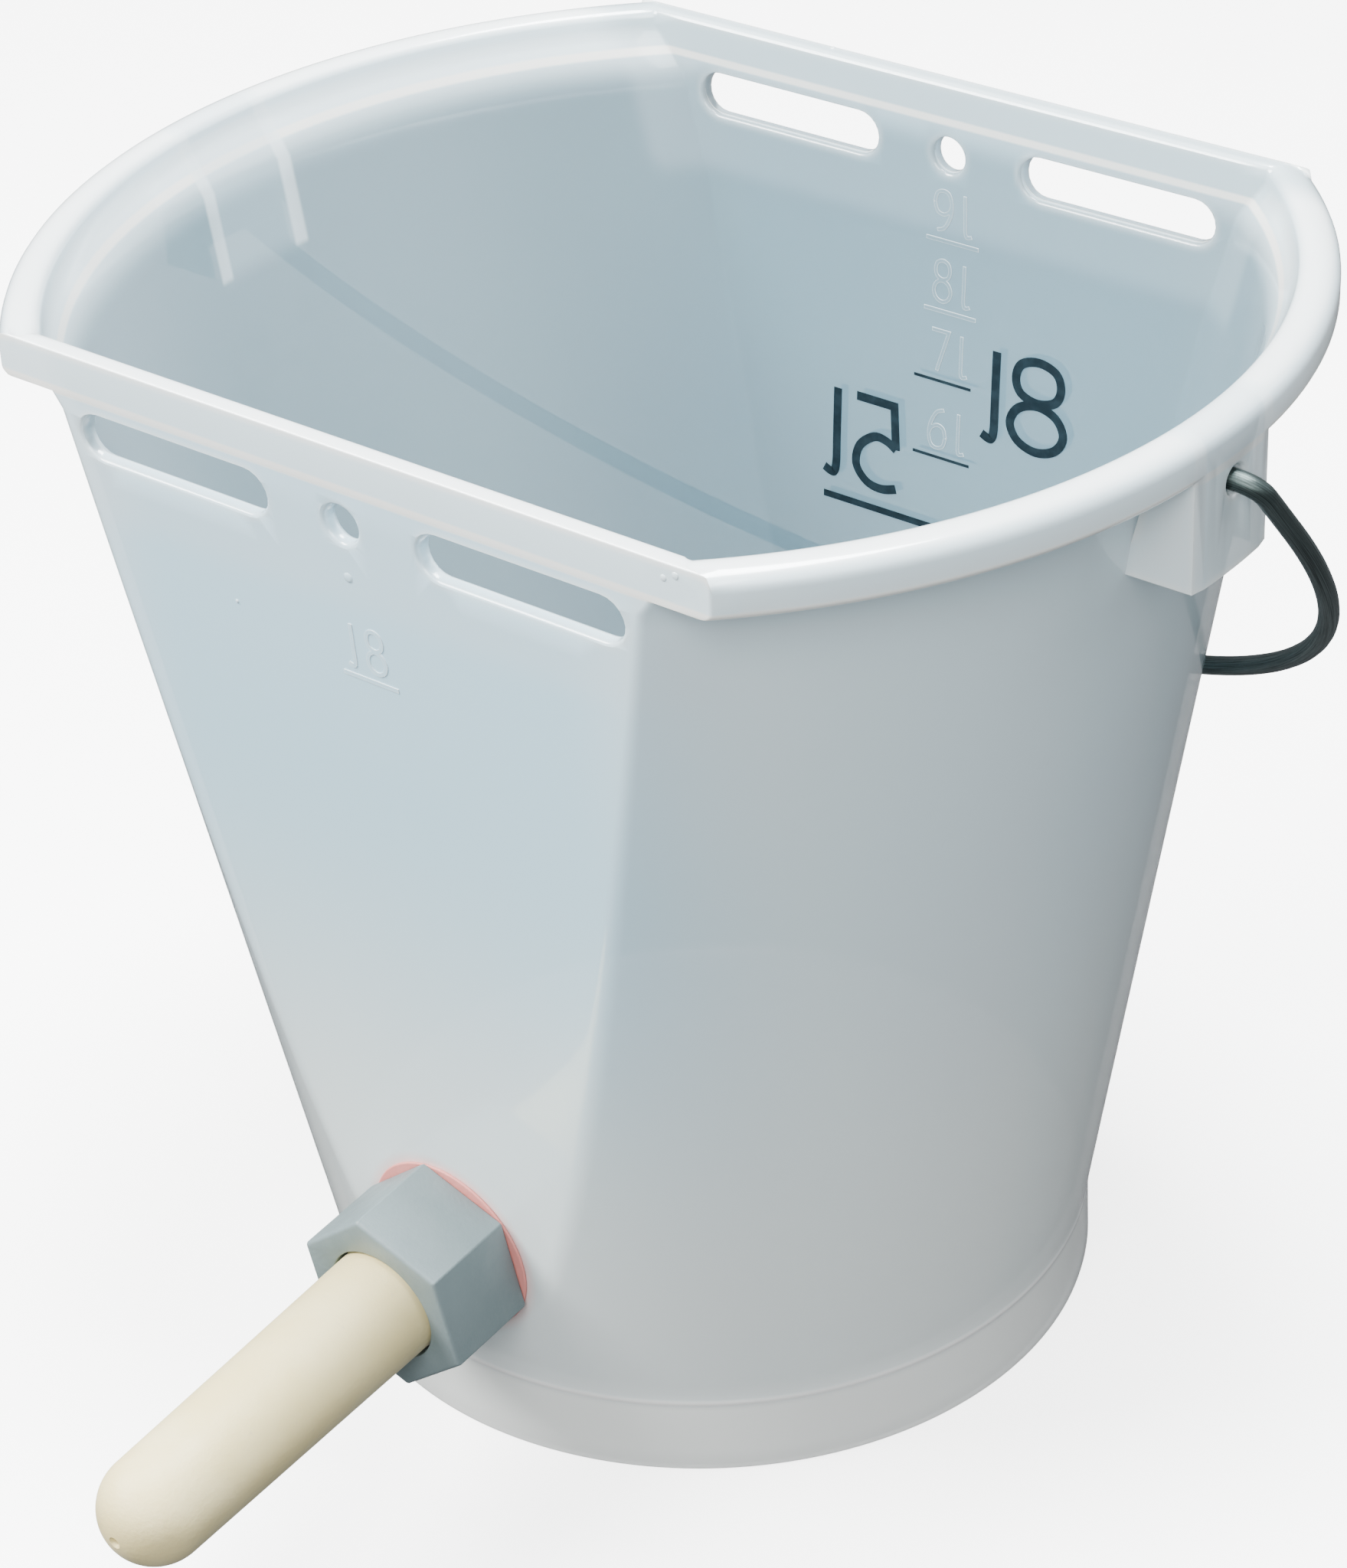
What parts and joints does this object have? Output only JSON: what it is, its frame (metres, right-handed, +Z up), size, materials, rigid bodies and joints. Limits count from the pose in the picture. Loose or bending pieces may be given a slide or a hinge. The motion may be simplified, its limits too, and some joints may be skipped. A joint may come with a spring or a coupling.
{
  "type": "calf feeding bucket with teat",
  "caption": "Translucent tapered bucket with flat front and back walls, wire bail handle and a rubber drinking teat held by a hexagonal union nut over a ball valve.",
  "frame": {"origin": "centre of the foot ring, on the surface the bucket stands on", "axes": "+Z up to the mouth, -Y out through the front wall along the teat, +X and -X through the two bail lugs"},
  "size_m": [0.321, 0.3416, 0.285],
  "materials": {
    "bucket_plastic": "natural polypropylene, milky and translucent, semi-gloss",
    "bail_wire": "zinc-plated steel wire with drawing lines",
    "scale_ink": "thin matt screen ink on the back wall",
    "seal_rubber": "matt red rubber",
    "valve_plastic": "satin grey moulded plastic",
    "ball_plastic": "satin white moulded plastic",
    "nut_plastic": "satin grey moulded plastic, softly rounded edges",
    "teat_rubber": "cream rubber with a soft sheen"
  },
  "bodies": {
    "bucket": {"bucket_body": "bucket_plastic", "sealing_ring": "seal_rubber", "valve_body": "valve_plastic", "ball_retainer": "ball_plastic"},
    "bail": {"bail_handle": "bail_wire"},
    "ball": {"valve_ball": "ball_plastic"},
    "teat": {"teat": "teat_rubber"},
    "nut": {"union_nut": "nut_plastic"}
  },
  "joints": [
    {"name": "bail_hinge", "type": "hinge", "parent": "bucket", "child": "bail", "pos_m": [0, 0, 0.2695], "axis": [1, 0, 0], "range_deg": [0, 278]},
    {"name": "ball_travel", "type": "slide", "parent": "bucket", "child": "ball", "axis": [0, 0.9974, 0.0727], "range_m": [0, 0.0033]},
    {"name": "teat_slide", "type": "slide", "parent": "bucket", "child": "teat", "axis": [0, -0.9974, -0.0727], "range_m": [0, 0.0151]},
    {"name": "nut_turn", "type": "hinge", "parent": "teat", "child": "nut", "pos_m": [0, -0.102, 0.0594], "axis": [0, -0.9974, -0.0727], "range_deg": [0, 1800]}
  ],
  "couplings": [
    {"joint": "teat_slide", "follows": "nut_turn", "m_per_rad": 0.00047746}
  ]
}
